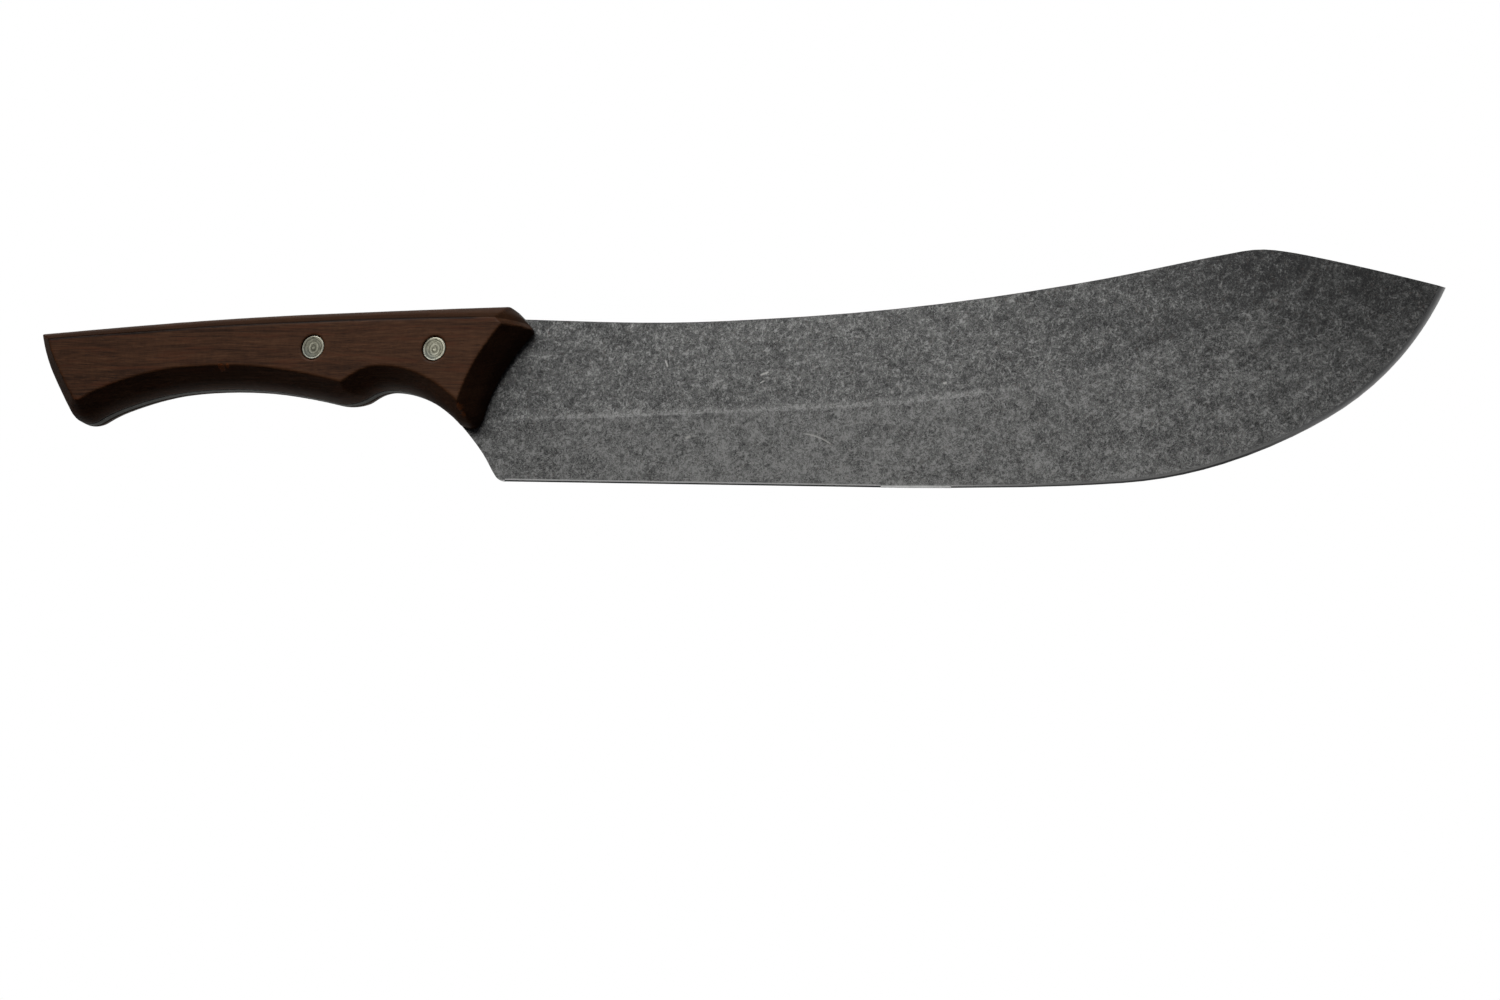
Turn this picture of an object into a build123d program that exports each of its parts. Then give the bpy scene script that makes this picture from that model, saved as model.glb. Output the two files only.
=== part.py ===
from build123d import *
from dataclasses import dataclass
import math
import os

# Full-tang butcher's knife: one steel blade with an integral tang, two wooden
# handle scales and two two-part rivets.
#
# Frame of the finished parts: millimetres, origin at the centre of the knife's
# bounding box, in the blade's middle plane. +X runs along the knife from butt
# to tip, +Z points to the spine, -Z to the cutting edge, and Y is the blade's
# thickness. The outline tables are drawn from the front rivet's axis, and the
# finished shapes are moved by ORIGIN_SHIFT when they are written.

ORIGIN_SHIFT = (-73.465, 0.0, 2.423)

# ------------------------------------------------------------ blade dimensions
BLADE_T = 2.5            # blade and tang thickness
HALF_T = BLADE_T / 2
SPINE_BREAK = 0.25       # broken corner along spine, choil and tang
EDGE_MATCH = 3.0         # an edge this near a cutting edge piece's middle stays sharp

EDGE_HALF = 0.22         # half thickness behind the straight part of the edge
EDGE_HALF_BELLY = 0.38   # half thickness behind the curved part towards the tip
BELLY_START_X = 165      # the half thickness grows from here
BELLY_RAMP = 60          # and over this length
GRIND_ABOVE = 3.0        # grind cutter's reach above the grind line
GRIND_BELOW = 6.0        # and below the cutting edge
GRIND_OUTER_Y = 3.2      # grind cutter's outer face

EDGE_FLAT_HALF = 0.04    # half width of the honed edge line
EDGE_ANGLE = 17.0        # sharpening angle, each side, degrees
HONE_OUTSIDE = 1.2       # hone cutter's reach outside the outline
HONE_INSIDE = 3.0        # and inside it
HONE_OUTER_Y = 2.2       # hone cutter's outer face

# ----------------------------------------------------------- handle dimensions
HANDLE_HALF = 10.0       # blade middle plane to the handle's side face
LAND_TOP = 1.75          # scale side stands square to the tang up to this level
BEVEL_ANGLE = 38.0       # handle bevel, measured from the square side
BREAK_ANGLE = 9.0        # where the rounding leaves the square side

# Bevel widths
WIDTH_BOTTOM = 4.85      # along butt, palm and finger groove
WIDTH_LOBE = 4.0         # round the lobe behind the finger groove
WIDTH_BACK_FRONT = 4.9   # along the handle's back, at its front end
WIDTH_BACK_BUTT = 3.9    # the same at the butt
WIDTH_CLIP = 4.5         # across the clipped front corner
WIDTH_FRONT = 5.2        # along the handle's front

# Bevel cutters
CUTTER_OUTSIDE = 0.6     # reach outside the outline
BEVEL_OVERRUN = 1.0      # bevel carried on past the side face
SWEPT_TOP = HANDLE_HALF + 1.0
TAPERED_TOP = SWEPT_TOP + 0.5
BACK_RUN_IN = 8.0        # back cutter's lengths past the ends of the back
BACK_RUN_OUT = 9.0

# ------------------------------------------------------------ rivet dimensions
RIVETS = [("front", 0.0, 0.0), ("rear", -36.6, 0.30)]   # name, x, z
HEAD_D = 6.7             # head diameter
HEAD_L = 1.7             # head length
SINK_D = 7.0             # head recess in each scale
SINK_CUT_L = 5.0         # length of the recess cutter
HEAD_RECESS = 0.22       # head face below the wood's side face
BODY_D = 4.8             # female rivet's body diameter
BODY_BORE = 4.9          # through hole in scales and tang
STEM_D = 3.2             # male rivet's stem, pressed in the female rivet
FACE_Y = HANDLE_HALF - HEAD_RECESS
SEAT_Y = FACE_Y - HEAD_L

RING_DEPTH = 0.05        # turned rings in the head face
RING_STARTS = [0.95, 1.72, 2.50]   # inner radius of each ring
STEM_END_Y = -5.2
STEM_TIP_L = 0.6         # length and radial size of the stem's end chamfer
STEM_TIP_R = 0.4
BODY_END_Y = 6.9
BODY_TIP_L = 0.3         # the same for the female body
BODY_TIP_R = 0.25
BORE_END_Y = -6.2
BORE_CONE_L = 0.6        # drill point at the bore's end

# -------------------------------------------------------------- outline tables
# Nodes are x, z, travel direction in degrees. Each pair of neighbours is
# joined by two tangent arcs. The outlines run with the material to their left.
BUTT = [(-125.86, 5.85, -75.46), (-113.41, -17.147, -54.12)]
BUTT_CORNER = [BUTT[-1], (-104.61, -19.04, 32.6)]
PALM = [BUTT_CORNER[-1], (-91.26, -13.44, 17.2),
        (-59.99, -9.73, -0.96), (-31.32, -13.39, -12.3)]
LOBE = [PALM[-1], (-27.3, -13.62, 6.0)]
GROOVE = [LOBE[-1], (-15.18, -9.605, -0.83),
          (-0.52, -13.947, -30.72), (6.91, -19.484, -43.89)]
CHOIL = [GROOVE[-1], (16.05, -30.204, -58.67), (20.9, -34.46, 0.0)]
EDGE = [CHOIL[-1], (128.0, -34.44, 0.0), (166.46, -33.803, 1.85),
        (218.91, -26.894, 18.66), (265.13, 4.941, 55.94), (272.79, 19.6, 69.1)]
SPINE = [(272.79, 19.60, 165.84), (236.98, 28.011, 168.17),
         (220.21, 29.161, 190.37), (176.84, 20.577, 189.8),
         (103.91, 11.743, 183.71), (56.2, 9.94, 179.55), (22.0, 10.76, 178.5)]
BACK = [(16.6, 14.005, 181.8), (-25.0, 12.521, 182.33), (-60.0, 10.902, 183.28),
        (-94.8, 8.507, 184.4), (-125.86, 5.85, 184.91)]

# The wood's front end, from the finger groove up to the back
GROOVE_END = GROOVE[-1][:2]
FRONT_END = (9.5, -20.3)
FRONT_END_DIRECTION = math.degrees(math.atan2(FRONT_END[1] - GROOVE_END[1],
                                              FRONT_END[0] - GROOVE_END[0]))
FRONT = [(13.25, -17.0, 80.0), (24.95, 6.05, 48.0)]
FRONT_CORNER = [(*FRONT_END, FRONT_END_DIRECTION), FRONT[0]]
CLIP_DIRECTION = 138.5
CLIP_LOW = (24.74, 8.2)
CLIP_TOP = (19.2, 13.1)
NOSE = [FRONT[-1], (*CLIP_LOW, CLIP_DIRECTION)]
CLIP_ROUND = [(*CLIP_TOP, CLIP_DIRECTION), BACK[0]]

# Where the flat of the blade turns into the ground bevel: x, z.
GRIND = [(-4, -27.5), (6, -23.4), (14, -20.2), (23, -17.9), (42, -16.9),
         (60.5, -16.1), (88, -14.75), (107, -13.8), (125, -12.7),
         (148, -10.2), (172, -6.2), (186, -1.6), (199, 2.7), (212, 7.8),
         (224, 13.9), (234, 20.5), (244, 28.0), (254, 36.0), (264, 45.0),
         (276, 57.0)]


# -------------------------------------------------------------- outline pieces
@dataclass
class StraightPiece:
    start: tuple
    end: tuple

    def at(self, fraction):
        """x, z and unit travel direction part of the way along."""
        dx, dz = self.end[0] - self.start[0], self.end[1] - self.start[1]
        length = math.hypot(dx, dz)
        return (self.start[0] + dx * fraction, self.start[1] + dz * fraction,
                dx / length, dz / length)

    def inset(self, depth, y):
        """Point at level y, depth to the left of the piece's start."""
        x, z, tx, tz = self.at(0.0)
        return Vector(x - tz * depth, y, z + tx * depth)

    def reversed(self):
        return StraightPiece(self.end, self.start)

    def edge(self, y):
        return Edge.make_line(Vector(self.start[0], y, self.start[1]),
                              Vector(self.end[0], y, self.end[1]))

    def carry(self, face):
        """Solid made by moving a face from the piece's start to its end."""
        return Solid.extrude(face, Vector(self.end[0] - self.start[0], 0,
                                          self.end[1] - self.start[1]))


@dataclass
class ArcPiece:
    start: tuple
    end: tuple
    centre: tuple
    radius: float
    angle: float    # of the start, seen from the centre, radians
    turn: float     # radians, positive when the piece bends to the left

    def at(self, fraction):
        angle = self.angle + self.turn * fraction
        cos_a, sin_a = math.cos(angle), math.sin(angle)
        side = 1 if self.turn > 0 else -1
        return (self.centre[0] + self.radius * cos_a,
                self.centre[1] + self.radius * sin_a, -sin_a * side, cos_a * side)

    def inset(self, depth, y):
        radius = self.radius + (-depth if self.turn > 0 else depth)
        return Vector(self.centre[0] + math.cos(self.angle) * radius, y,
                      self.centre[1] + math.sin(self.angle) * radius)

    def reversed(self):
        return ArcPiece(self.end, self.start, self.centre, self.radius,
                        self.angle + self.turn, -self.turn)

    def edge(self, y):
        mid_x, mid_z = self.at(0.5)[:2]
        return Edge.make_three_point_arc(Vector(self.start[0], y, self.start[1]),
                                         Vector(mid_x, y, mid_z),
                                         Vector(self.end[0], y, self.end[1]))

    def carry(self, face):
        axis = Axis((self.centre[0], 0, self.centre[1]),
                    (0, -1 if self.turn > 0 else 1, 0))
        return Solid.revolve(face, abs(math.degrees(self.turn)), axis)


def arc_from(start, heading, end):
    """One arc from start, leaving along a unit heading, to end. An arc too
    flat to matter becomes a straight piece."""
    normal = (-heading[1], heading[0])
    dx, dz = end[0] - start[0], end[1] - start[1]
    curvature = 2 * (dx * normal[0] + dz * normal[1]) / (dx * dx + dz * dz)
    if abs(curvature) < 1e-5:
        return StraightPiece(start, end)
    radius = 1 / curvature
    centre = (start[0] + normal[0] * radius, start[1] + normal[1] * radius)
    angle = math.atan2(start[1] - centre[1], start[0] - centre[0])
    end_angle = math.atan2(end[1] - centre[1], end[0] - centre[0])
    if curvature > 0:
        turn = (end_angle - angle) % (2 * math.pi)
    else:
        turn = -((angle - end_angle) % (2 * math.pi))
    return ArcPiece(start, end, centre, abs(radius), angle, turn)


def chain(nodes):
    """Tangent arcs through x, z, direction nodes, two for each pair."""
    pieces = []
    for (x0, z0, deg0), (x1, z1, deg1) in zip(nodes[:-1], nodes[1:]):
        tx0, tz0 = math.cos(math.radians(deg0)), math.sin(math.radians(deg0))
        tx1, tz1 = math.cos(math.radians(deg1)), math.sin(math.radians(deg1))
        dx, dz = x1 - x0, z1 - z0
        along = dx * (tx0 + tx1) + dz * (tz0 + tz1)
        chord_sq = dx * dx + dz * dz
        spread = 2 * (1 - tx0 * tx1 - tz0 * tz1)
        # distance from each node to its arc's tangent corner
        if spread < 1e-10:
            reach = chord_sq / (2 * along)
        else:
            reach = (-along + math.sqrt(along * along + spread * chord_sq)) / spread
        joint = ((x0 + x1 + reach * (tx0 - tx1)) / 2,
                 (z0 + z1 + reach * (tz0 - tz1)) / 2)
        pieces.append(arc_from((x0, z0), (tx0, tz0), joint))
        pieces.append(arc_from((x1, z1), (-tx1, -tz1), joint).reversed())
    return pieces


def run_in(piece, length):
    """Straight prolongation that leads into a piece's start."""
    tx, tz = piece.at(0.0)[2:]
    x, z = piece.start
    return StraightPiece((x - tx * length, z - tz * length), (x, z))


def run_out(piece, length):
    """Straight prolongation past a piece's end."""
    tx, tz = piece.at(1.0)[2:]
    x, z = piece.end
    return StraightPiece((x, z), (x + tx * length, z + tz * length))


butt, butt_corner, palm = chain(BUTT), chain(BUTT_CORNER), chain(PALM)
lobe, groove = chain(LOBE), chain(GROOVE)
choil, cutting_edge, spine, back = chain(CHOIL), chain(EDGE), chain(SPINE), chain(BACK)
wood_end = [StraightPiece(GROOVE_END, FRONT_END)]
front_corner, front, nose = chain(FRONT_CORNER), chain(FRONT), chain(NOSE)
clip = [StraightPiece(CLIP_LOW, CLIP_TOP)]
clip_round = chain(CLIP_ROUND)
tang_step = [StraightPiece(SPINE[-1][:2], CLIP_TOP)]

# Blade and wood share the handle's lower side, its butt and its back.
handle_lower = butt + butt_corner + palm + lobe + groove
handle_upper = clip_round + back
wood_outline = (handle_lower + wood_end + front_corner + front + nose + clip
                + handle_upper)
blade_outline = handle_lower + choil + cutting_edge + spine + tang_step + handle_upper


# --------------------------------------------------------------- solid helpers
def prism(pieces, y0, y1):
    wire = Wire([piece.edge(y0) for piece in pieces])
    return Solid.extrude(Face(wire), Vector(0, y1 - y0, 0))


def polygon_face(points):
    return Face(Wire.make_polygon(points, close=True))


def rivet_cylinder(diameter, x, y, z, length):
    """Cylinder from level y towards +Y."""
    return Solid.make_cylinder(diameter / 2, length, Plane((x, y, z), z_dir=(0, 1, 0)))


def largest_solid(shape):
    return max(shape.solids(), key=lambda solid: solid.volume)


# ----------------------------------------------------------------------- blade
def break_corners(body):
    """Chamfer the outline's corners everywhere except along the cutting edge."""
    middles = [piece.at(0.5)[:2] for piece in cutting_edge]
    corners = []
    for edge in body.edges():
        centre = edge.center()
        on_face = abs(abs(centre.Y) - HALF_T) <= 1e-6
        if on_face and not any(math.hypot(centre.X - x, centre.Z - z) < EDGE_MATCH
                               for x, z in middles):
            corners.append(edge)
    # The chamfer may fail on this outline; the corners then stay sharp.
    try:
        return body.chamfer(SPINE_BREAK, None, corners)
    except Exception:
        return body


def cutting_edge_z(x):
    """Height of the cutting edge at x, carried on straight past both ends."""
    tip_x, tip_z, tip_direction = EDGE[-1]
    if x <= EDGE[0][0]:
        return EDGE[0][1]
    if x >= tip_x:
        return tip_z + (x - tip_x) * math.tan(math.radians(tip_direction))
    steps = 24
    samples = [piece.at(i / steps)[:2] for piece in cutting_edge for i in range(steps + 1)]
    return next(za + (zb - za) * (x - xa) / (xb - xa)
                for (xa, za), (xb, zb) in zip(samples[:-1], samples[1:])
                if xa <= x <= xb and xb > xa)


def grind_cutter():
    """Cutter on the +Y side, from the grind line to the cutting edge."""
    sections = []
    for x, grind_z in GRIND:
        edge_z = cutting_edge_z(x)
        belly = min(1, max(0, (x - BELLY_START_X) / BELLY_RAMP))
        behind = EDGE_HALF + (EDGE_HALF_BELLY - EDGE_HALF) * belly
        slope = (HALF_T - behind) / (grind_z - edge_z)
        z_high, z_low = grind_z + GRIND_ABOVE, edge_z - GRIND_BELOW
        sections.append(polygon_face([
            Vector(x, behind - slope * GRIND_BELOW, z_low),
            Vector(x, HALF_T + slope * GRIND_ABOVE, z_high),
            Vector(x, GRIND_OUTER_Y, z_high),
            Vector(x, GRIND_OUTER_Y, z_low)]))
    return loft(Sketch(sections)).solids()[0]


def hone_cutter(piece, side):
    """Cutter along one piece of the cutting edge; side is +1 or -1 in Y."""
    slope = math.tan(math.radians(EDGE_ANGLE))
    profile = [(-HONE_OUTSIDE, EDGE_FLAT_HALF - HONE_OUTSIDE * slope),
               (HONE_INSIDE, EDGE_FLAT_HALF + HONE_INSIDE * slope),
               (HONE_INSIDE, HONE_OUTER_Y), (-HONE_OUTSIDE, HONE_OUTER_Y)]
    return piece.carry(polygon_face([piece.inset(depth, side * y) for depth, y in profile]))


def make_blade():
    body = break_corners(prism(blade_outline, -HALF_T, HALF_T))
    grind = grind_cutter()
    body = body - grind - grind.mirror(Plane.XZ)
    for piece in cutting_edge:
        for side in (1, -1):
            body = body - hone_cutter(piece, side)
    for _, x, z in RIVETS:
        body = body - rivet_cylinder(BODY_BORE, x, -HALF_T - 1, z, BLADE_T + 2)
    return body


# ---------------------------------------------------------------------- scales
def bevel_profile(width):
    """Start, middle and end of the rounding, then the end of the straight
    bevel, as (inset, level) points."""
    rise = HANDLE_HALF - LAND_TOP
    a, b = math.radians(BREAK_ANGLE), math.radians(BEVEL_ANGLE)
    # rounding of unit radius: its inset and its rise
    round_in, round_up = math.cos(a) - math.cos(b), math.sin(b) - math.sin(a)
    det = round_in * math.cos(b) - math.sin(b) * round_up
    radius = (width * math.cos(b) - math.sin(b) * rise) / det
    length = (round_in * rise - round_up * width) / det
    if length < 0.8 or radius < 1.0:
        raise ValueError("bevel profile has no straight part")
    half = (a + b) / 2
    mid = (radius * (math.cos(a) - math.cos(half)),
           LAND_TOP + radius * (math.sin(half) - math.sin(a)))
    end = (radius * round_in, LAND_TOP + radius * round_up)
    last = (end[0] + (length + BEVEL_OVERRUN) * math.sin(b),
            end[1] + (length + BEVEL_OVERRUN) * math.cos(b))
    return [(0.0, LAND_TOP), mid, end, last]


def bevel_face(place, profile, top):
    """Cutter section beyond a bevel profile; place turns (inset, level) into
    a point."""
    start, mid, end, last = profile
    slope = math.tan(math.radians(BREAK_ANGLE))
    outer = (-CUTTER_OUTSIDE, LAND_TOP - CUTTER_OUTSIDE / slope * 0.5)
    corners = [end, last, (last[0], top), (outer[0], top), outer]
    edges = [Edge.make_line(place(*outer), place(*start)),
             Edge.make_three_point_arc(place(*start), place(*mid), place(*end))]
    edges += [Edge.make_line(place(*p), place(*q)) for p, q in zip(corners[:-1], corners[1:])]
    return Face(Wire(edges))


def swept_cutter(piece, width):
    """Cutter of constant bevel width along one outline piece."""
    start, mid, end, last = bevel_profile(width)
    # inside a left-hand arc the section must not pass the arc's centre
    if isinstance(piece, ArcPiece) and piece.turn > 0 and last[0] > piece.radius:
        share = (piece.radius - end[0]) / (last[0] - end[0])
        last = (piece.radius, end[1] + (last[1] - end[1]) * share)
    return piece.carry(bevel_face(piece.inset, [start, mid, end, last], SWEPT_TOP))


def back_cutter():
    """Cutter along the handle's back; its bevel width changes evenly in x."""
    stations = [piece.at(fraction) for piece in back for fraction in (0.0, 0.5)]
    stations.append(back[-1].at(1.0))
    x_first, x_last = stations[0][0], stations[-1][0]
    x, z, tx, tz = stations[0]
    stations.insert(0, (x - tx * BACK_RUN_IN, z - tz * BACK_RUN_IN, tx, tz))
    x, z, tx, tz = stations[-1]
    stations.append((x + tx * BACK_RUN_OUT, z + tz * BACK_RUN_OUT, tx, tz))

    sections = []
    for x, z, tx, tz in stations:
        share = min(1.0, max(0.0, (x - x_first) / (x_last - x_first)))
        width = WIDTH_BACK_FRONT + (WIDTH_BACK_BUTT - WIDTH_BACK_FRONT) * share

        def place(inset, level):
            return Vector(x - tz * inset, level, z + tx * inset)
        sections.append(bevel_face(place, bevel_profile(width), TAPERED_TOP))
    return loft(Sketch(sections)).solids()[0]


def make_scale():
    """Scale on the +Y side."""
    flank = groove[1:]    # the groove on the +X side of the lobe
    bevels = [
        (WIDTH_BOTTOM, butt + [run_in(butt[0], 9.0)] + butt_corner + palm
         + [run_out(palm[-1], 9.0)]),
        (WIDTH_LOBE, lobe + groove[:1]),
        (WIDTH_BOTTOM, [run_in(flank[0], 10.0)] + flank + [run_out(flank[-1], 8.0)]),
        (WIDTH_FRONT, [run_in(wood_end[0], 6.0)] + wood_end + front_corner + front
         + [run_out(front[-1], 8.0)]),
        (WIDTH_CLIP, [run_in(clip[0], 8.0)] + clip + [run_out(clip[-1], 6.0)]),
    ]
    body = prism(wood_outline, HALF_T, HANDLE_HALF)
    for width, pieces in bevels:
        for piece in pieces:
            body = largest_solid(body - swept_cutter(piece, width))
    body = largest_solid(body - back_cutter())
    for _, x, z in RIVETS:
        body = body - rivet_cylinder(BODY_BORE, x, 0, z, HANDLE_HALF + 2)
        body = body - rivet_cylinder(SINK_D, x, SEAT_Y, z, SINK_CUT_L)
    return body


# ---------------------------------------------------------------------- rivets
def turned(points, x, z):
    """Solid of revolution about the rivet's axis from (radius, y) points."""
    face = polygon_face([Vector(x + radius, y, z) for radius, y in points])
    return Solid.revolve(face, 360, Axis((x, 0, z), (0, 1, 0)))


def head_points():
    """Turned head on the +Y side, from its face's centre to its under-side."""
    points = [(0.0, FACE_Y - 0.08), (0.30, FACE_Y - 0.06)]    # centre dimple
    for ring in RING_STARTS:
        if ring == RING_STARTS[0]:
            points.append((0.45, FACE_Y))
        points += [(ring, FACE_Y), (ring + 0.10, FACE_Y - RING_DEPTH),
                   (ring + 0.25, FACE_Y - RING_DEPTH), (ring + 0.35, FACE_Y)]
    rim = HEAD_D / 2
    return points + [(rim - 0.22, FACE_Y), (rim - 0.06, FACE_Y - 0.07),
                     (rim, FACE_Y - 0.24), (rim, SEAT_Y)]


def make_male(x, z):
    """Head on the +Y side with a solid stem."""
    radius = STEM_D / 2
    stem = [(radius, SEAT_Y), (radius, STEM_END_Y + STEM_TIP_L),
            (radius - STEM_TIP_R, STEM_END_Y), (0.0, STEM_END_Y)]
    return turned(head_points() + stem, x, z)


def make_female(x, z):
    """Head on the -Y side with a bored body that takes the stem."""
    head = [(radius, -y) for radius, y in head_points()]
    radius, bore = BODY_D / 2, STEM_D / 2
    body = [(radius, -SEAT_Y), (radius, BODY_END_Y - BODY_TIP_L),
            (radius - BODY_TIP_R, BODY_END_Y), (bore, BODY_END_Y),
            (bore, BORE_END_Y), (0.0, BORE_END_Y - BORE_CONE_L)]
    return turned(head + body, x, z)


# ----------------------------------------------------------------------- write
scale_left = make_scale()
parts = {
    "blade": make_blade(),
    "scale_left": scale_left,
    "scale_right": scale_left.mirror(Plane.XZ),
}
for name, x, z in RIVETS:
    parts[f"rivet_{name}_male"] = make_male(x, z)
    parts[f"rivet_{name}_female"] = make_female(x, z)

os.makedirs("parts", exist_ok=True)
for name, shape in parts.items():
    export_step(largest_solid(shape).moved(Location(ORIGIN_SHIFT)), f"parts/{name}.step")
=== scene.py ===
"""A fixed-blade knife: stonewashed steel, two walnut scales, two turned rivets.

It lies along x: butt at -x, point at +x. The spine is up (+z), the cutting edge down.
The blade's plane is y = 0; the camera looks at the -y side.
"""
import math
from functools import reduce

import bmesh
import bpy
import numpy as np
from mathutils import Matrix, Vector


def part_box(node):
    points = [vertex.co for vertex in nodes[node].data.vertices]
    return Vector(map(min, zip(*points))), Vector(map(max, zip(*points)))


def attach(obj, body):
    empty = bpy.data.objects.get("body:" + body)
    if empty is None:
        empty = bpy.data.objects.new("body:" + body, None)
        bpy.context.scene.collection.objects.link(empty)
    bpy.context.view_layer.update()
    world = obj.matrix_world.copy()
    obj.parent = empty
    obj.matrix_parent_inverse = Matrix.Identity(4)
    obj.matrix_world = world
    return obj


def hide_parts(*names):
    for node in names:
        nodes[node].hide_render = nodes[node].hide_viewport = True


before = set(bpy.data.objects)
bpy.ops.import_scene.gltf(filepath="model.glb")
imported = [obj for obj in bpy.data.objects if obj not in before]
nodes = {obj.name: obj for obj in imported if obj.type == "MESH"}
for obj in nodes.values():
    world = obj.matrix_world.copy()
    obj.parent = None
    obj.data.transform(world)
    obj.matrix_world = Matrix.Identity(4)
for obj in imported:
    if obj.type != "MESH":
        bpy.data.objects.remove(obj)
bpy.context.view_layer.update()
scene = bpy.context.scene
scene.view_settings.view_transform = "Standard"
scene.view_settings.look = "None"

# ------------------------------------------------------- sizes of the finer meshes
MM = 1000.0                                  # millimetres in a metre
VOXEL, SAND_STEPS = 0.00034, 6               # scale remesh size (m), smoothing rounds
SCALE_OUTER_Y, SCALE_INNER_Y = 0.010, 0.00125    # the scales' flat faces, from y = 0 (m)
RIVET_RADIUS, RIVET_FACE_Y = 3.35, 9.78      # mm

# ------------------------------------------------------------------- blade finish
BLADE_BASE = 0.352        # mean tone
GROUND_PAINTED_LIGHT = 0.150        # how much lighter the ground bevel is painted: painted light against the shade of its tilt
TIP_PAINTED_SHADE = 0.18           # how much painted shade darkens the tip
BLADE_METAL = 0.55        # metallic value away from the honed edge
# painted reflection: the bright tone of the honed strip
HONED_PAINTED_GLINT = (1.0, 1.0, 0.98)

# the grind line, where the flat turns into the ground bevel: x, z (mm)
GRIND = [(-77.5, -25.1), (-67.5, -21.0), (-59.5, -17.8), (-50.5, -15.5), (-31.5, -14.5),
         (-13.0, -13.7), (14.5, -12.3), (33.5, -11.4), (51.5, -10.3), (74.5, -7.8),
         (98.5, -3.8), (112.5, 0.8), (125.5, 5.1), (138.5, 10.2), (150.5, 16.3),
         (160.5, 22.9), (170.5, 30.4)]
# single marks on the -y side: x, z, half length, half width (mm), turn (radians)
MARKS = [(-8.6, 0.9, 1.25, 0.32, -1.13), (19.6, -1.7, 1.45, 0.36, 0.36),
         (19.2, -4.0, 0.8, 0.22, 0.5), (70.0, -4.0, 0.6, 0.38, 0.2),
         (-0.5, -19.3, 0.95, 0.50, 0.40), (36.3, -18.9, 5.0, 0.28, -0.35)]
# curly hairlines: noise size (mm), line width (in noise value), pattern shift
HAIRLINES = [(2.0, 0.070, (3, 1, 7)), (2.8, 0.052, (31, 5, 11)), (1.5, 0.085, (17, 9, 3)),
             (3.6, 0.042, (7, 21, 19)), (2.4, 0.060, (57, 2, 43))]
# wiry tangle: noise size (mm), line width (in noise value)
TANGLE = [(1.25, 0.085), (0.85, 0.100), (1.7, 0.060)]

# -------------------------------------------------------------------- wood finish
WOOD_DARK, WOOD_BROWN = (0.027, 0.0102, 0.0042), (0.060, 0.0240, 0.0104)
WOOD_TAN, WOOD_PALE = (0.087, 0.0365, 0.0162), (0.132, 0.0575, 0.0275)
WOOD_RED = (0.108, 0.0310, 0.0120)
WOOD_ROUGH, WOOD_SPEC = 0.50, 0.10
# where the handle's side meets its rounded back: x, z (mm)
BACK_LINE = [(-194.1, 4.52), (-189.3, 5.00), (-164.1, 6.69), (-139.3, 8.59),
             (-114.8, 9.77), (-89.6, 10.76), (-56.9, 11.19)]
# chips in the -y side: x, z, radius (mm)
CHIPS = [(-137.6, -2.9, 1.35), (-135.8, -2.7, 0.9), (-64.6, -13.4, 1.35), (-64.0, -15.2, 1.0)]

# ------------------------------------------------------------------- rivet finish
# tool rings: fraction of the radius, tone
RIVET_RINGS = [(0.0, 0.66), (0.08, 0.60), (0.17, 0.40), (0.26, 0.42), (0.36, 0.60),
               (0.44, 0.66), (0.51, 0.40), (0.60, 0.50), (0.68, 0.54), (0.755, 0.38),
               (0.83, 0.52), (0.92, 0.74), (0.97, 0.66), (1.0, 0.40)]
RIVET_PAINTED_LIGHT = {"front": 1.15, "rear": 0.9}    # painted light: each rivet's metal brightness, the front one painted lighter than the rear
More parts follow.
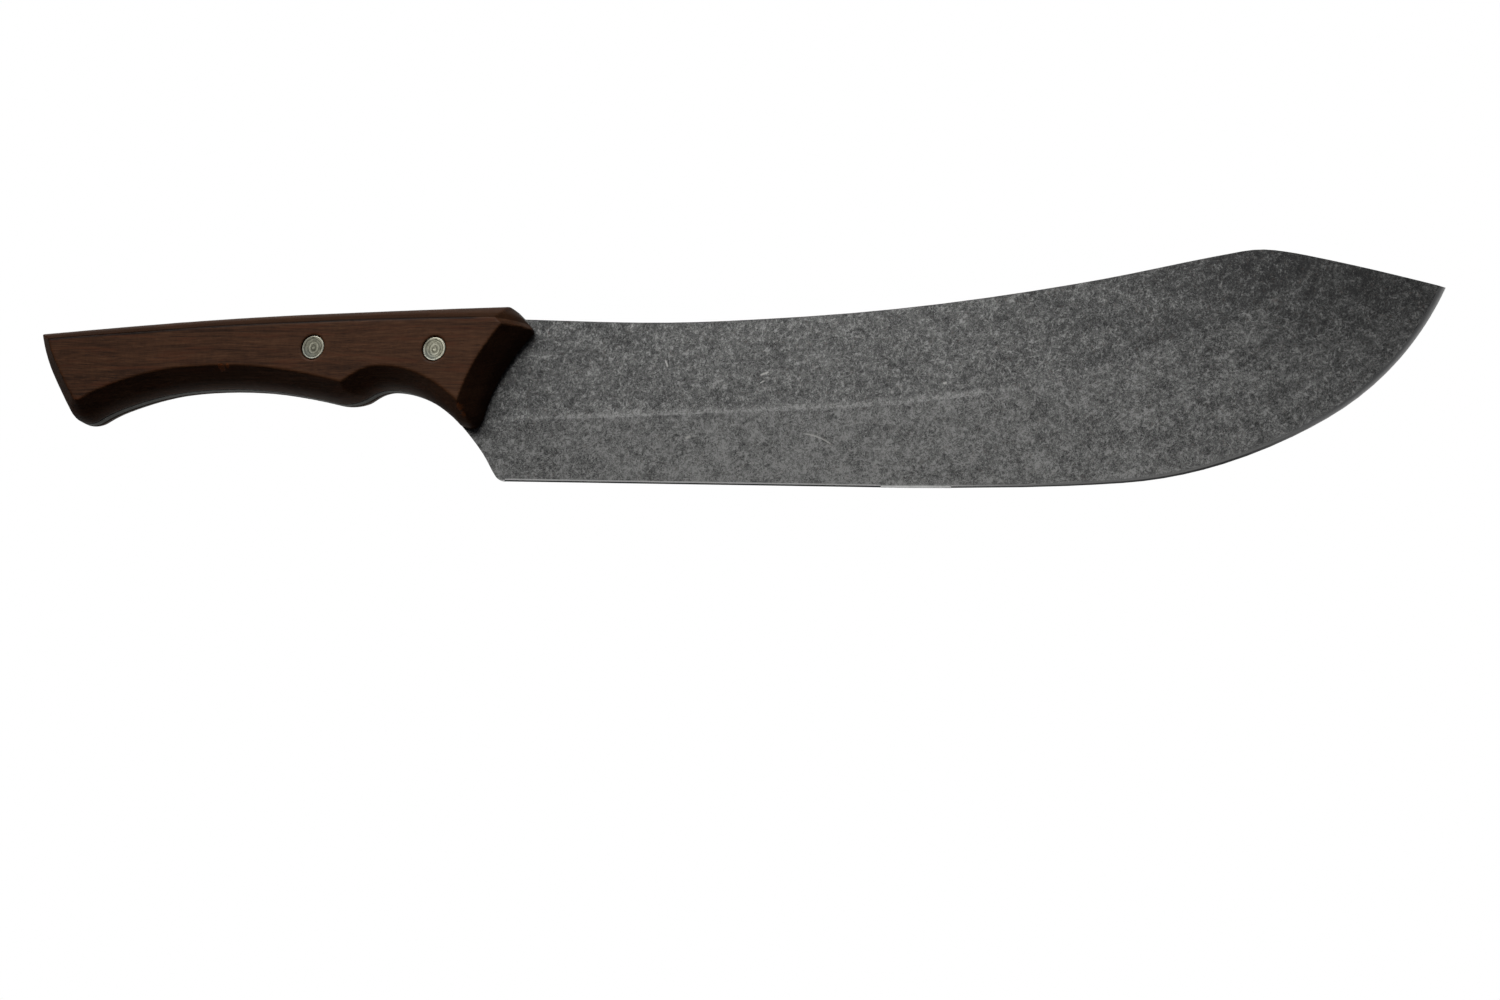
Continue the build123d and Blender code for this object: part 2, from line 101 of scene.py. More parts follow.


# ================================================================== shader building
class Signal:
    """A node output. Arithmetic on it adds Math nodes, or Vector Math nodes for vectors."""

    def __init__(self, net, socket):
        self.net, self.socket = net, socket

    def combine(self, operation, other):
        kind = "ShaderNodeMath" if self.socket.type == "VALUE" else "ShaderNodeVectorMath"
        return self.net.node(kind, {0: self, 1: other}, operation=operation)

    def __add__(self, other):
        return self.combine("ADD", other)

    def __sub__(self, other):
        return self.combine("SUBTRACT", other)

    def __mul__(self, other):
        return self.combine("MULTIPLY", other)

    def __radd__(self, other):
        return self.net.math("ADD", other, self)

    def __rsub__(self, other):
        return self.net.math("SUBTRACT", other, self)

    def __truediv__(self, other):
        return self.net.math("DIVIDE", self, other)

    def __pow__(self, other):
        return self.net.math("POWER", self, other)

    def __abs__(self):
        return self.net.math("ABSOLUTE", self)

    def sqrt(self):
        return self.net.math("SQRT", self)

    def max(self, other):
        return self.net.math("MAXIMUM", self, other)

    def swing(self, amount):
        """A 0 to 1 pattern centred on zero and scaled."""
        return (self - 0.5) * amount

    def remap(self, over, to, smooth=True):
        """Carries the range `over` to the range `to`, clamped."""
        return self.net.node("ShaderNodeMapRange", dict(enumerate((self, *over, *to))), clamp=True,
                             interpolation_type="SMOOTHSTEP" if smooth else "LINEAR")

    def rise(self, over):
        return self.remap(over, to=(0.0, 1.0))

    def fall(self, over, to=0.0):
        return self.remap(over, to=(1.0, to))

    def level_line(self, width, level=0.5):
        """A line where the pattern crosses a level."""
        return abs(self - level).fall(over=(0.0, width))

    def split(self):
        first = self.net.node("ShaderNodeSeparateXYZ", {0: self})
        return [Signal(self.net, output) for output in first.socket.node.outputs]

    def mapped(self, shift=(0, 0, 0), turn=(0, 0, 0)):
        return self.net.node("ShaderNodeMapping", {0: self, "Location": shift, "Rotation": turn})

    def noise(self, scale=1.0, detail=2.0, rough=0.5, bend=0.0, output="Fac"):
        return self.net.node("ShaderNodeTexNoise", {
            "Vector": self, "Scale": scale, "Detail": detail, "Roughness": rough,
            "Distortion": bend}, output)

    def cells(self, scale, output):
        return self.net.node("ShaderNodeTexVoronoi", {"Vector": self, "Scale": scale},
                             output, feature="F1")

    def ramp(self, stops):
        result = self.net.node("ShaderNodeValToRGB", {0: self})
        elements = result.socket.node.color_ramp.elements
        while len(elements) < len(stops):
            elements.new(0.5)
        for element, (place, colour) in zip(elements, stops):
            element.position = place
            element.color = (*colour, 1.0)
        return result

    def curve(self, table, low, high):
        """A float curve through a table that lies in the box from low to high."""
        place = self.remap(over=(low[0], high[0]), to=(0.0, 1.0), smooth=False)
        result = self.net.node("ShaderNodeFloatCurve", {"Value": place})
        mapping = result.socket.node.mapping
        mapping.use_clip = True
        points = mapping.curves[0].points
        while len(points) < len(table):
            points.new(0.5, 0.5)
        for point, (x, z) in zip(points, table):
            point.location = ((x - low[0]) / (high[0] - low[0]),
                              (z - low[1]) / (high[1] - low[1]))
        mapping.update()
        return result.remap(over=(0.0, 1.0), to=(low[1], high[1]), smooth=False)

    def toward(self, colour, by):
        return self.net.mix(by, self, colour)

    def bump(self, distance, strength):
        return self.net.node("ShaderNodeBump", {
            "Height": self, "Distance": distance, "Strength": strength})


class Net:
    """Builds one shader node tree."""

    def __init__(self, tree):
        self.tree = tree
        tree.nodes.clear()

    def put(self, socket, value):
        if isinstance(value, Signal):
            self.tree.links.new(value.socket, socket)
            return
        if socket.type == "RGBA" and len(value) == 3:
            value = (*value, 1.0)
        socket.default_value = value

    def node(self, kind, values, output=0, **settings):
        """Adds a node, fills its inputs and gives one of its outputs."""
        node = self.tree.nodes.new(kind)
        for name, value in settings.items():
            setattr(node, name, value)
        for key, value in values.items():
            self.put(node.inputs[key], value)
        return Signal(self, node.outputs[output])

    def math(self, operation, *operands):
        return self.node("ShaderNodeMath", dict(enumerate(operands)), operation=operation)

    def join(self, x, y, z):
        return self.node("ShaderNodeCombineXYZ", {0: x, 1: y, 2: z})

    def mix(self, factor, first, second):
        return self.node("ShaderNodeMix", {0: factor, 6: first, 7: second}, output=2,
                         data_type="RGBA")

    def mix_shaders(self, factor, first, second):
        return self.node("ShaderNodeMixShader", {0: factor, 1: first, 2: second})

    def position(self):
        """Object position in millimetres."""
        return self.node("ShaderNodeTexCoord", {}, "Object") * (MM, MM, MM)

    def geometry(self, output):
        return self.node("ShaderNodeNewGeometry", {}, output)

    def principled(self, colour, rough, metallic=0.0, **extra):
        values = {"Base Color": colour, "Roughness": rough, "Metallic": metallic}
        values.update({name.replace("_", " "): value for name, value in extra.items()})
        return self.node("ShaderNodeBsdfPrincipled", values)

    def finish(self, shader, kind="ShaderNodeOutputMaterial"):
        self.put(self.tree.nodes.new(kind).inputs[0], shader)


def new_material(name):
    material = bpy.data.materials.new(name)
    material.use_nodes = True
    return material, Net(material.node_tree)


def assign(obj, material):
    obj.data.materials.clear()
    obj.data.materials.append(material)


def strongest(signals):
    return reduce(Signal.max, signals)


def grey(value):
    return (value, value, value)


# =================================================================== blade material
def hairlines(flat):
    """Curly light lines: thin level lines of slow noise, broken up by masks."""
    for i, (size, width, shift) in enumerate(HAIRLINES):
        curl = flat.mapped(shift, turn=(0, 0.7 * i + 0.3, 0))
        line = curl.noise(scale=1 / size, detail=1.0, bend=0.5).level_line(width)
        mask = flat.mapped(shift=(shift[2] * 3, 2, shift[0])).noise(scale=1 / 1.9)
        yield line * mask.rise(over=(0.53, 0.63))


def tangle(flat):
    for i, (size, width) in enumerate(TANGLE):
        turned_flat = flat.mapped(shift=(9 * i, 4 * i, 5 * i + 2), turn=(0, 0.9 * i, 0))
        yield turned_flat.noise(scale=1 / size, detail=1.5, rough=0.55,
                                bend=0.8).level_line(width)


def bent_scratches(warped, directions=10):
    """Short scratches in many directions: a light and a dark set."""
    light, dark = [], []
    for i in range(directions):
        angle = math.pi * (i + 0.35) / directions
        streaks = warped.mapped(shift=(13 * i, 3 * i, 29 * i), turn=(0, angle, 0))
        streaks = (streaks * (1 / 3.2, 1 / 3.0, 1 / 0.20)).noise(detail=1.0, rough=0.4)
        light.append(streaks.rise(over=(0.64, 0.74)))
        dark.append(streaks.fall(over=(0.25, 0.34)))
    return strongest(light), strongest(dark)


def sparse_strokes(warped, angles, shift, length, width, scale, reach, rarity):
    """Single strokes in the few cells whose random value passes `rarity`."""
    for i, angle in enumerate(angles):
        stretched = warped.mapped(shift=(shift[0] * i, 0, shift[1] * i), turn=(0, angle, 0))
        stretched = stretched * (1 / length, 0.0, 1 / width)
        core = stretched.cells(scale, "Distance").fall(over=reach)
        yield core * stretched.cells(scale, "Color").split()[0].rise(over=rarity)


def add_marks(nicks, x, y, z):
    """Adds the slightly curved single marks on the -y side to the nicks."""
    near = y.fall(over=(-0.2, 0.2))
    for mark_x, mark_z, half_length, half_width, turn in MARKS:
        cosine, sine = math.cos(turn), math.sin(turn)
        from_x, from_z = x - mark_x, z - mark_z
        along = from_x * cosine + from_z * sine
        across = from_z * cosine - from_x * sine
        across = across + along * along * 0.03
        mark = (abs(across).fall(over=(half_width * 0.4, half_width))
                * abs(along).fall(over=(half_length * 0.6, half_length)))
        nicks = nicks.max(mark * near * 0.75)
    return nicks


def honed_colour(position, x, depth):
    """Colour of the honed strip: bare steel with a painted reflection in bright and dark bands;
    depth is 0 at the edge and 0.5 at the strip's top.
    """
    lines = (position * (1 / 0.10, 1 / 3.0, 1 / 1.6)).noise()
    straight = depth.ramp([(0.0, grey(0.02)), (0.31, grey(0.04)),
                           (0.37, HONED_PAINTED_GLINT), (0.62, HONED_PAINTED_GLINT)])
    belly = depth.ramp([(0.0, grey(0.05)), (0.22, grey(0.10)),
                        (0.34, (0.46, 0.46, 0.45)), (0.62, (0.34, 0.34, 0.33))])
    point = depth.ramp([(0.0, HONED_PAINTED_GLINT), (0.20, (0.60, 0.60, 0.59)),
                        (0.36, grey(0.32)), (0.50, grey(0.20))])
    colour = straight.toward(belly, by=x.rise(over=(60.0, 110.0)))
    colour = colour.toward(point, by=x.rise(over=(145.0, 182.0)))
    return colour.toward(grey(0.10), by=lines.remap(over=(0.3, 0.7), to=(0.0, 0.25)))


def blade_material():
    material, net = new_material("blackened_stonewash")
    position = net.position()
    x, y, z = position.split()
    # each side has its own pattern
    flat = net.join(x, net.math("SIGN", y) * 40.0, z)

    # soft clouds, mottles and grit, coarse to fine
    clouds = (flat * (0.7, 1.0, 1.0)).noise(scale=1 / 20.0)
    blotches = (flat * (0.8, 1.0, 1.0)).noise(scale=1 / 5.0, detail=3, rough=0.6)
    mottle = flat.noise(scale=1 / 1.7, detail=3, rough=0.62)
    fine = flat.noise(scale=1 / 0.62, detail=3, rough=0.72)
    grit = flat.noise(scale=1 / 0.26, rough=0.6)
    warp = flat.noise(scale=1 / 2.4, output="Color")
    warped = flat + (warp - grey(0.5)) * grey(3.4)

    hair = strongest(hairlines(flat))
    wire = reduce(Signal.__add__, tangle(flat))
    scratches, dark_scratches = bent_scratches(warped)
    long_scratches = strongest(sparse_strokes(
        warped, angles=(0.10, 0.95, -0.55), shift=(71, 37), length=14.0, width=0.34,
        scale=0.32, reach=(0.08, 0.20), rarity=(0.93, 0.95)))
    nicks = strongest(sparse_strokes(
        warped, angles=(0.35, 1.25, -0.8), shift=(41, 23), length=2.4, width=0.42,
        scale=0.16, reach=(0.04, 0.10), rarity=(0.965, 0.975)))

    # the tone is a sum of the layers, each with its own weight
    tone = (clouds.swing(0.16) + blotches.swing(0.38) + mottle.swing(0.27)
            + fine.swing(0.58) + grit.swing(0.72) + hair * 0.27 + wire * 0.070
            + scratches * 0.20 - dark_scratches * 0.17 + long_scratches * 0.22 + BLADE_BASE)

    # the tone is lighter in a soft band along the grind line
    above = z - x.curve(GRIND, low=(-80.0, -40.0), high=(180.0, 40.0))
    ragged = above + mottle.swing(0.6)
    band = ragged.rise(over=(-0.50, 0.10)) * ragged.fall(over=(0.30, 2.4))
    fade = x.rise(over=(-66.0, -40.0)) * x.fall(over=(60.0, 120.0), to=0.35)
    tone = tone + band * fade * 0.20
    # painted light: the ground bevel is painted lighter against the shade of its tilt, and it is
    # more blotchy
    ground = above.fall(over=(-0.6, 0.2))
    tone = tone + ground * GROUND_PAINTED_LIGHT
    tone = tone + ground * (blotches * 0.6 + fine * 0.4 - 0.5) * 0.42
    # painted shade: the tip is darker, most of all in an oval near the point
    tip = x.rise(over=(112.0, 182.0)) * z.remap(over=(-14.0, 26.0), to=(0.25, 1.0))
    tone = tone - tip * TIP_PAINTED_SHADE
    oval_x, oval_z = (x - 181.0) * (1 / 15.0), (z - 23.0) * (1 / 10.0)
    oval = (oval_x * oval_x + oval_z * oval_z).fall(over=(0.0, 1.6))
    tone = tone - oval * 0.06
    # slow painted light along the length: painted shade forward, a painted highlight in the
    # middle, painted shade by the handle
    tone = tone - x.rise(over=(70.0, 135.0)) * 0.085
    tone = tone + x.rise(over=(-40.0, -10.0)) * x.fall(over=(40.0, 90.0)) * 0.022
    tone = tone - x.fall(over=(-66.0, -10.0)) * 0.05
    tone = tone.max(0.02)

    colour = tone.ramp([(0.0, (0.012, 0.012, 0.0122)), (0.25, (0.045, 0.045, 0.0452)),
                        (0.43, (0.105, 0.106, 0.103)), (0.60, (0.185, 0.186, 0.181)),
                        (0.85, (0.36, 0.36, 0.35))])
    # more painted shade on the tip
    colour = colour.toward(grey(0.0), by=tip * 0.42)
    warm = flat.noise(scale=1 / 0.9, rough=0.6).rise(over=(0.62, 0.72))
    colour = colour.toward((0.16, 0.115, 0.095), by=warm * 0.22)
    nicks = add_marks(nicks, x, y, z)
    colour = colour.toward((0.62, 0.61, 0.58), by=nicks * 0.9)
    rough = 0.50 + fine.swing(0.22) - nicks * 0.15

    # painted shade: faces turned away from the sides, such as the spine, are painted dark
    facing = abs(net.geometry("True Normal").split()[1])
    rim = facing.fall(over=(0.5, 0.85))
    colour = colour.toward((0.030, 0.029, 0.028), by=rim * 0.75)

    # honed edge: the only steel faces tipped a little off the blade's plane; bare steel whose
    # bright, barely metallic colour is a painted reflection
    honed = facing.fall(over=(0.972, 0.982)) * facing.rise(over=(0.88, 0.92))
    depth = abs(y) / x.remap(over=(91.0, 152.0), to=(0.22, 0.38), smooth=False) * 0.5
    # a painted highlight line carries on a hair above the strip
    painted_glint_line = depth.fall(over=(0.505, 0.585)) * x.fall(over=(60.0, 150.0), to=0.25)
    painted_glint_line = painted_glint_line * z.fall(over=(6.0, 12.0), to=0.6)
    strip = honed.max(painted_glint_line * facing.rise(over=(0.985, 0.992)))
    colour = colour.toward(honed_colour(position, x, depth), by=strip)
    rough = rough * (1.0 - honed) + honed * 0.42
    metallic = honed.remap(over=(0.0, 1.0), to=(BLADE_METAL, 0.10), smooth=False)

    height = (mottle * 0.5 + fine * 0.5 + grit * 0.2
              - scratches.max(hair) * 0.30 - nicks)
    net.finish(net.principled(colour, rough, metallic,
                              Normal=height.bump(distance=0.00003, strength=0.55)))
    return material


# ==================================================================== wood material
def raw_chips(position, x, y, z):
    """Ragged chips in the corner above the bevels, on the -y side."""
    chips = []
    for chip_x, chip_z, radius in CHIPS:
        from_x, from_z = x - chip_x, z - chip_z
        distance = (from_x * from_x + from_z * from_z * 1.6).sqrt()
        distance = distance + position.noise(scale=1 / 0.6, detail=3, rough=0.7).swing(2.6)
        chips.append(distance.fall(over=(radius * 0.55, radius)))
    return strongest(chips) * (y * -1.0).rise(over=(5.5, 7.0))


def wood_material():
    material, net = new_material("dark_walnut")
    position = net.position()
    x, y, z = position.split()
    normal = net.geometry("True Normal")

    # grain runs along the handle, tipped a little and slowly wandering
    grain = position.mapped(turn=(0, math.radians(0.5), math.radians(1.0)))
    wander = (grain * (1 / 60.0, 1 / 12.0, 1 / 12.0)).noise(output="Color")
    grain = grain + (wander - grey(0.5)) * (0.0, 4.0, 4.6)

    # growth rings: distance from a far-off pith
    grain_x, grain_y, grain_z = grain.split()
    pith = ((grain_y - 26.0) ** 2.0 + (grain_z + 64.0) ** 2.0).sqrt()
    rings = net.join(grain_x * 0.006, 0.0, pith).noise(scale=0.28, detail=3, rough=0.6)
    bands = net.join(grain_x * 0.020, 4.0, pith).noise(scale=0.95, detail=3, rough=0.65)
    # noise stretched to each layer's length and widths (mm)
    streak = (grain * (1 / 16.0, 1 / 0.52, 1 / 0.52)).noise(detail=3, rough=0.6)
    fibre = (grain * (1 / 5.5, 1 / 0.24, 1 / 0.24)).noise(rough=0.65)
    figure = (grain * (1 / 26.0, 1 / 5.0, 1 / 3.6)).noise()
    flake = (grain * (1 / 0.9, 1 / 2.4, 1 / 2.4)).noise(rough=0.6)

    # the layers' weights; the wood also lightens toward the blade
    tone = (0.5 + rings.swing(0.42) + bands.swing(0.50) + streak.swing(0.80)
            + fibre.swing(0.70) + x.remap(over=(-199.0, -60.0), to=(-0.06, 0.07), smooth=False)
            + figure.swing(0.34) + flake.swing(0.22))

    # open pores: short dark dashes along the grain
    dashes = grain * (1 / 3.4, 1 / 0.22, 1 / 0.22)
    pore = (dashes.cells(0.8, "Distance").fall(over=(0.08, 0.28))
            * dashes.cells(0.8, "Color").split()[0].rise(over=(0.50, 0.65)))
    # thin dark late-wood lines
    late = bands.level_line(width=0.020, level=0.46) * streak.rise(over=(0.42, 0.60))
    red = (grain * (1 / 18.0, 1 / 1.7, 1 / 1.4)).noise(detail=3, rough=0.55)

    colour = tone.ramp([(0.22, WOOD_DARK), (0.45, WOOD_BROWN), (0.62, WOOD_TAN),
                        (0.85, WOOD_PALE)])
    colour = colour.toward(WOOD_RED, by=red.rise(over=(0.52, 0.68)) * 0.38)
    colour = colour.toward((0.016, 0.0075, 0.0045), by=pore * 0.50)
    colour = colour.toward((0.018, 0.0085, 0.005), by=late * 0.35)
    chips = raw_chips(position, x, y, z)
    colour = colour.toward((0.26, 0.075, 0.020), by=chips * 0.62)

    # painted shade: the up-facing back of the handle is painted darker, most of all low down
    above = z - x.curve(BACK_LINE, low=(-200.0, 0.0), high=(-60.0, 20.0))
    upward = normal.split()[2].rise(over=(0.10, 0.25))
    back = above.rise(over=(-0.05, 0.30)) * upward
    climb = above.rise(over=(0.2, 3.8))
    colour = colour.toward((0.022, 0.0090, 0.0042),
                           by=back * climb.remap(over=(0.0, 1.0), to=(0.72, 0.30)))
    # and holds a thin dark line where it meets the side
    seam_line = abs(above + -0.10).fall(over=(0.22, 0.58))
    seam_line = seam_line * abs(y).rise(over=(8.6, 9.2)) * x.fall(over=(-64.0, -60.0))
    colour = colour.toward((0.008, 0.0035, 0.0020),
                           by=seam_line * streak.remap(over=(0.3, 0.7), to=(0.90, 0.70)))
    # end grain drinks more oil and is darker
    end_grain = abs(normal.split()[0]).rise(over=(0.25, 0.75))
    colour = colour.toward((0.022, 0.0115, 0.0070), by=end_grain * 0.45)

    rough = WOOD_ROUGH + streak.swing(0.22) + pore * 0.2
    height = fibre * 0.5 + streak * 0.5 - pore * 1.4 - chips * 3.0
    # the butt end and the foot of the back shine less
    butt = normal.split()[0].remap(over=(-0.5, -0.2), to=(0.20, 1.0))
    dull = net.math("MULTIPLY_ADD", back,
                    climb.remap(over=(0.3, 1.0), to=(0.15, 1.0)) - 1.0, 1.0)
    net.finish(net.principled(colour, rough,
                              Normal=height.bump(distance=0.00006, strength=0.5),
                              Specular_IOR_Level=dull * butt * WOOD_SPEC))
    return material


# =================================================================== rivet material
def rivet_material(name, axis_x, axis_z, gain):
    """Turned metal about an axis at (axis_x, axis_z), in metres."""
    material, net = new_material(name)
    position = net.position()
    x, _, z = position.split()
    from_x, from_z = x - axis_x * MM, z - axis_z * MM
    radius = (from_x * from_x + from_z * from_z).sqrt()

    # the inner rings are slightly oval and off centre, and all of them wander
    oval_x, oval_z = from_x - 0.22, from_z - -0.12
    oval = (oval_x * oval_x * 1.25 + oval_z * oval_z * 0.85).sqrt()
    inner = radius.fall(over=(1.4, 2.6))
    ring_radius = oval * inner + radius * (1.0 - inner)
    ring_radius = ring_radius + position.noise(scale=1.0 / 1.2).swing(0.42)
    rings = (ring_radius * (1 / RIVET_RADIUS)).ramp(
        [(place, grey(value)) for place, value in RIVET_RINGS]).split()[0]
    fine = net.join(ring_radius * 5.0, 0.0, axis_x * 100).noise(rough=0.6)
    blotches = position.noise(scale=1 / 1.3, detail=4, rough=0.6)
    spots = position.noise(scale=1 / 0.35, rough=0.6)
    tone = ((rings - 0.52) * 1.75 + 0.52 + fine.swing(0.40) + blotches.swing(0.70)
            + spots.swing(0.40))
    # the rim catches more light on the blade side
    rim = radius.rise(over=(2.3, 3.0)) * from_x.remap(over=(-1.5, 3.0), to=(-0.10, 0.22))
    tone = tone + rim * 1.0

    level = gain * 1.3

    def metal(*colour):
        return tuple(channel * level for channel in colour)

    colour = tone.ramp([(0.20, metal(0.070, 0.068, 0.048)), (0.45, metal(0.150, 0.146, 0.108)),
                        (0.62, metal(0.25, 0.245, 0.185)), (0.90, metal(0.42, 0.41, 0.33))])
    # cooler toward the lower butt side
    cool = (from_x * -0.5 + from_z * -0.8).rise(over=(0.4, 2.6))
    colour = colour.toward(metal(0.17, 0.20, 0.20), by=cool * 0.30)
    height = rings * 0.6 + spots * 0.2
    net.finish(net.principled(colour, 0.46 + blotches.swing(0.3), metallic=0.70,
                              Normal=height.bump(distance=0.00003, strength=0.4)))
    return material


# =================================================================== finer geometry
def show(name, mesh, material, node):
    """A finer mesh, in the row frame, that stands for one CAD node."""
    mesh.materials.clear()
    mesh.materials.append(material)
    for face in mesh.polygons:
        face.use_smooth = True
    obj = bpy.data.objects.new(name, mesh)
    scene.collection.objects.link(obj)
    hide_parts(node)
    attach(obj, "root")


def value_noise(points, seed):
    """Smooth lattice noise in -1..1 at points given in lattice units."""
    base = np.floor(points).astype(np.int64)
    part = points - base
    part = part * part * (3 - 2 * part)
    total = np.zeros(len(points))
    for corner in np.ndindex(2, 2, 2):
        cell = base + corner
        code = (cell[:, 0] * 374761393 + cell[:, 1] * 668265263
                + cell[:, 2] * 2147483647 + seed * 144269) & 0xffffffff
        code = ((code ^ (code >> 13)) * 1274126177) & 0xffffffff
        value = ((code ^ (code >> 16)) & 0xffff) / 32767.5 - 1.0
        weight_x, weight_y, weight_z = (
            part[:, axis] if far else 1 - part[:, axis] for axis, far in enumerate(corner))
        total += value * (weight_x * weight_y * weight_z)
    return total


def even_mesh(node):
    """The CAD node welded and remeshed to an even grid."""
    source = nodes[node]
    mesh = source.data.copy()
    mesh.transform(source.matrix_world)
    bm = bmesh.new()
    bm.from_mesh(mesh)
    bmesh.ops.remove_doubles(bm, verts=bm.verts, dist=1e-7)
    bm.to_mesh(mesh)
    bm.free()
    holder = bpy.data.objects.new("tmp", mesh)
    scene.collection.objects.link(holder)
    remesh = holder.modifiers.new("even", "REMESH")
    remesh.mode = "VOXEL"
    remesh.voxel_size = VOXEL
    depsgraph = bpy.context.evaluated_depsgraph_get()
    result = bpy.data.meshes.new_from_object(holder.evaluated_get(depsgraph))
    bpy.data.objects.remove(holder)
    return result


def sanded(node):
    """A scale with eased corners and slightly uneven bevels, as hand sanding leaves them."""
    mesh = even_mesh(node)
    count = len(mesh.vertices)
    places = np.empty(count * 3)
    mesh.vertices.foreach_get("co", places)
    places = places.reshape(-1, 3)
    edges = np.empty(len(mesh.edges) * 2, dtype=np.int64)
    mesh.edges.foreach_get("vertices", edges)
    edges = edges.reshape(-1, 2)
    neighbours = np.bincount(edges.ravel(), minlength=count).astype(float)
    low, high = places.min(0), places.max(0)

    def relax(points, amount):
        total = np.zeros_like(points)
        for axis in range(3):
            total[:, axis] = (np.bincount(edges[:, 0], points[edges[:, 1], axis], count)
                              + np.bincount(edges[:, 1], points[edges[:, 0], axis], count))
        return points + amount * (total / neighbours[:, None] - points)

    # a step in and a smaller step out, so that the scale does not shrink
    for _ in range(SAND_STEPS):
        places = relax(relax(places, 0.55), -0.50)
    mesh.vertices.foreach_set("co", places.ravel())
    mesh.update()

    # slight unevenness, away from the flats on both sides
    normals = np.empty(count * 3)
    mesh.vertices.foreach_get("normal", normals)
    normals = normals.reshape(-1, 3)
    depth = np.abs(places[:, 1])
    off_flat = np.minimum(np.abs(depth - SCALE_OUTER_Y), np.abs(depth - SCALE_INNER_Y))
    weight = np.clip(off_flat / 0.0012, 0, 1)
    wave = value_noise(places / 0.011, 3) * 0.6 + value_noise(places / 0.0042, 5) * 0.25
    places = places + normals * (wave * weight * 0.00007)[:, None]
    places = np.clip(places, low, high)
    mesh.vertices.foreach_set("co", places.ravel())
    mesh.update()
    return mesh


def turned(profile, axis_x, axis_z, segments=96):
    """A mesh lathed about a rivet's axis from (radius, y) points in mm, closed on the axis."""
    angles = np.linspace(0, 2 * math.pi, segments, endpoint=False)
    verts, faces, rings = [], [], []
    for radius, y in profile:
        if radius < 1e-6:
            rings.append([len(verts)])
            verts.append((axis_x, y / 1000, axis_z))
        else:
            rings.append(list(range(len(verts), len(verts) + segments)))
            verts += [(axis_x + radius / 1000 * math.cos(angle), y / 1000,
                       axis_z + radius / 1000 * math.sin(angle)) for angle in angles]
    for ring, following in zip(rings[:-1], rings[1:]):
        for i in range(segments):
            j = (i + 1) % segments
            if len(ring) == 1:
                faces.append((ring[0], following[j], following[i]))
            elif len(following) == 1:
                faces.append((ring[i], ring[j], following[0]))
            else:
                faces.append((ring[i], ring[j], following[j], following[i]))
    mesh = bpy.data.meshes.new("turned")
    mesh.from_pydata(verts, [], faces)
    bm = bmesh.new()
    bm.from_mesh(mesh)
    bmesh.ops.recalc_face_normals(bm, faces=bm.faces)
    bm.to_mesh(mesh)
    bm.free()
    return mesh


# rivet profiles, as radius and y (mm); the first two have y measured from the face
CENTRE_PIP = [(0.0, -0.07), (0.14, -0.065), (0.28, -0.035), (0.42, -0.008)]
EASED_RIM = [(3.06, -0.010), (3.13, -0.022), (3.19, -0.046), (3.245, -0.080), (3.29, -0.125),
             (3.325, -0.18), (3.345, -0.25), (RIVET_RADIUS, -0.34), (RIVET_RADIUS, -1.24),
             (3.30, -1.36), (3.00, -1.66), (2.90, -1.70)]
MALE_END = [(1.62, 8.08), (1.60, 8.06), (1.60, 8.0), (1.60, -4.55), (1.57, -4.65),
            (1.25, -5.15), (1.15, -5.2), (0.0, -5.2)]
FEMALE_END = [(2.42, -8.08), (2.40, -8.06), (2.40, -8.0), (2.40, 6.55), (2.37, 6.65),
              (2.18, 6.87), (2.10, 6.9), (1.66, 6.9), (1.60, 6.84), (1.60, -6.2), (0.0, -6.8)]


def face_profile(seed):
    """The turned face, centre to rim: a centre pip, tool rings, an eased rim and a chamfer."""
    points = [(radius, RIVET_FACE_Y + y) for radius, y in CENTRE_PIP]
    radius = 0.5
    while radius < 3.02:
        ring = (0.0050 * math.sin(radius * 12.1 + seed)
                + 0.0025 * math.sin(radius * 29.0 + 2 * seed))
        groove = -0.012 * max(0.0, 1 - abs((radius - 0.5) % 0.78 - 0.62) / 0.10)
        points.append((radius, RIVET_FACE_Y - 0.033 + ring + groove))
        radius += 0.05
    return points + [(radius, RIVET_FACE_Y + y) for radius, y in EASED_RIM]


def build_rivet(index, key):
    """Both halves of a rivet; the male half's face is on the +y side."""
    low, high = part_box("rivet_%s_female" % key)
    axis_x, axis_z = (low.x + high.x) / 2, (low.z + high.z) / 2
    metal = rivet_material("rivet_metal_" + key, axis_x, axis_z, RIVET_PAINTED_LIGHT[key])
    male = face_profile(1.7 + index) + MALE_END
    female = [(radius, -y) for radius, y in face_profile(0.4 + 2 * index)] + FEMALE_END
    for half, profile in (("male", male), ("female", female)):
        node = "rivet_%s_%s" % (key, half)
        assign(nodes[node], metal)
        show(node + "_turned", turned(profile, axis_x, axis_z), metal, node)


steel, walnut = blade_material(), wood_material()
for index, key in enumerate(("front", "rear")):
    build_rivet(index, key)
assign(nodes["blade"], steel)
for node in ("scale_left", "scale_right"):
    assign(nodes[node], walnut)
    show(node + "_sanded", sanded(node), walnut, node)


# ============================================================================ stage
def add_camera():
    data = bpy.data.cameras.new("camera")
    camera = bpy.data.objects.new("camera", data)
    scene.collection.objects.link(camera)
    data.sensor_fit = "HORIZONTAL"
    data.sensor_width = 36.0
    data.lens = 96.0
    data.clip_start, data.clip_end = 0.05, 50.0
    camera.matrix_world = Matrix(((0.939444, -0.016293, 0.342314, 0.380605),
                                  (0.329547, -0.231141, -0.915409, -0.96838),
                                  (0.094037, 0.972784, -0.211775, -0.260042),
                                  (0, 0, 0, 1)))
    scene.camera = camera


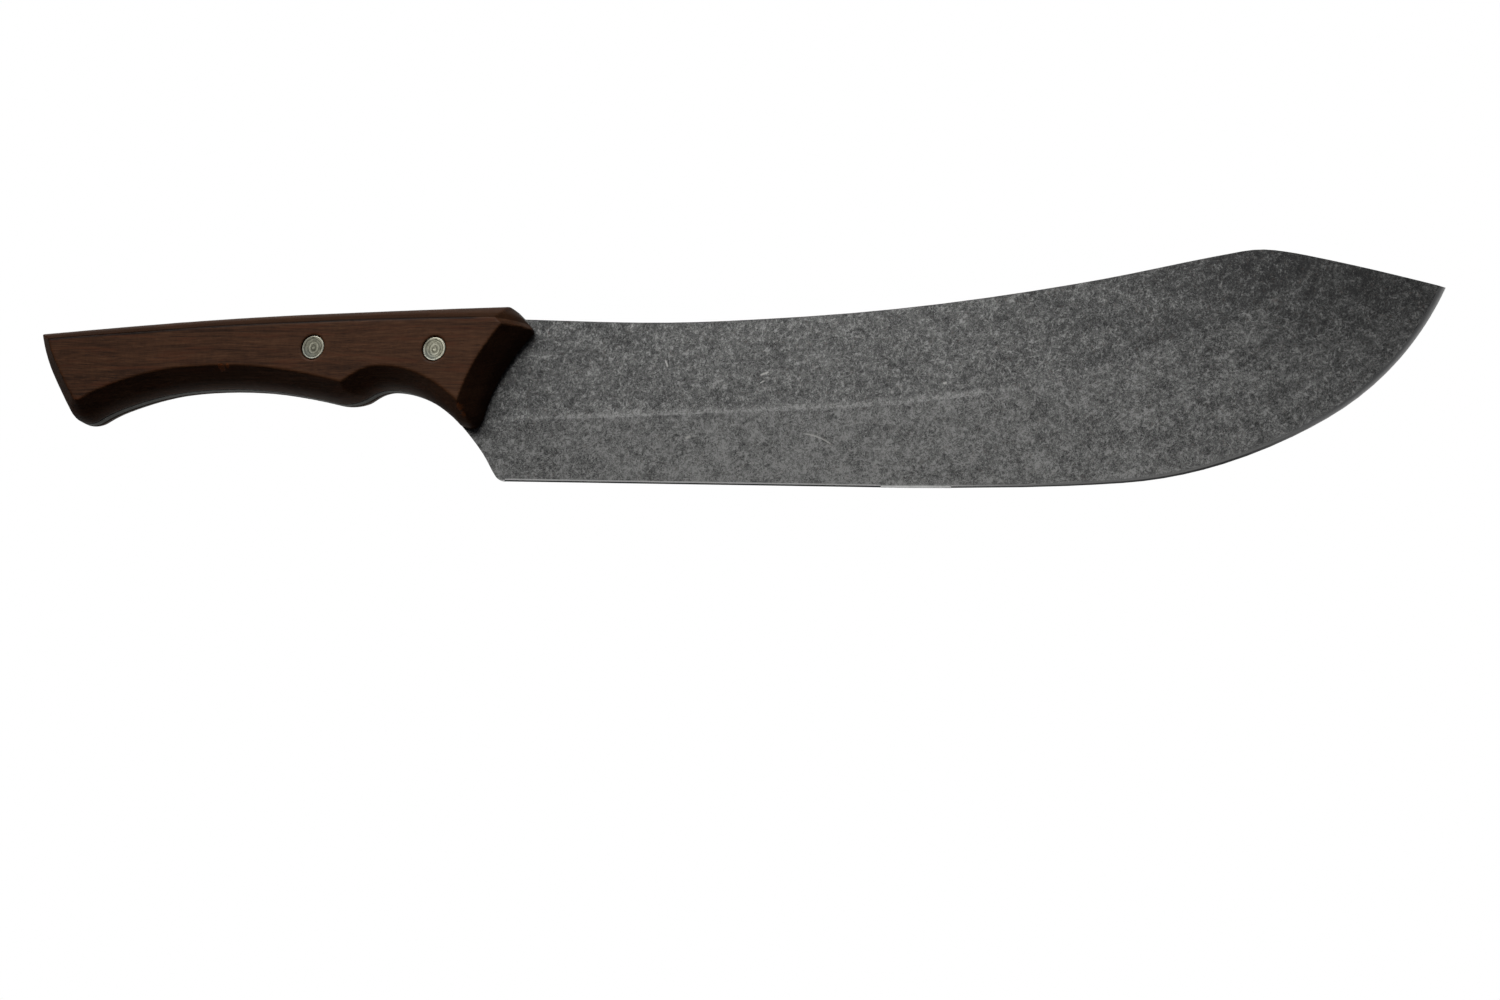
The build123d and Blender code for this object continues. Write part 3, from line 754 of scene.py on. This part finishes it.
def add_world():
    """White to the camera; to the object, a pale backdrop on +y and a dim room elsewhere."""
    world = bpy.data.worlds.new("studio")
    scene.world = world
    world.use_nodes = True
    net = Net(world.node_tree)
    direction = net.node("ShaderNodeTexCoord", {}, "Generated")
    behind = direction.split()[1].rise(over=(0.10, 0.55))
    surroundings = net.mix(behind, (0.035, 0.035, 0.037), (0.50, 0.495, 0.475))
    lit = net.node("ShaderNodeBackground", {"Color": surroundings, "Strength": 1.0})
    seen = net.node("ShaderNodeBackground", {"Color": grey(1), "Strength": 1.0})
    to_camera = net.node("ShaderNodeLightPath", {}, "Is Camera Ray")
    net.finish(net.mix_shaders(to_camera, lit, seen), kind="ShaderNodeOutputWorld")


def floor_material():
    """Pale, fading to white far out, and clear from underneath."""
    material, net = new_material("pale_floor")
    position = net.position()
    colour = position.noise(scale=1 / 260.0, detail=3).ramp(
        [(0.3, grey(0.80)), (0.7, (0.82, 0.82, 0.815))])
    top = net.principled(colour, rough=0.8, Emission_Color=(1.0, 1.0, 0.99),
                         Emission_Strength=0.38)
    distance = net.node("ShaderNodeVectorMath", {0: position}, "Value", operation="LENGTH")
    white = net.node("ShaderNodeEmission", {"Color": grey(1)})
    faded = net.mix_shaders(distance.rise(over=(900.0, 2500.0)), top, white)
    clear = net.node("ShaderNodeBsdfTransparent", {})
    net.finish(net.mix_shaders(net.geometry("Backfacing"), faded, clear))
    return material


def add_floor():
    """Out of the main view, because that camera looks a little upwards."""
    bm = bmesh.new()
    bmesh.ops.create_circle(bm, cap_ends=True, segments=96, radius=2.6)
    mesh = bpy.data.meshes.new("floor")
    bm.to_mesh(mesh)
    bm.free()
    floor = bpy.data.objects.new("floor", mesh)
    floor.location = (0, 0, -0.55)
    scene.collection.objects.link(floor)
    floor.visible_diffuse = False          # it is only looked at, it adds no light
    floor.visible_glossy = False
    assign(floor, floor_material())


def add_key_light():
    """A square area light above the -y side, aimed at the origin."""
    data = bpy.data.lights.new("key", "AREA")
    data.energy = 18.6
    data.size = 0.9
    light = bpy.data.objects.new("key", data)
    scene.collection.objects.link(light)
    light.location = (-0.50, -1.02, 1.05)
    light.rotation_mode = "QUATERNION"
    light.rotation_quaternion = (-light.location).to_track_quat("-Z", "Y")


add_camera()
add_world()
add_floor()
add_key_light()
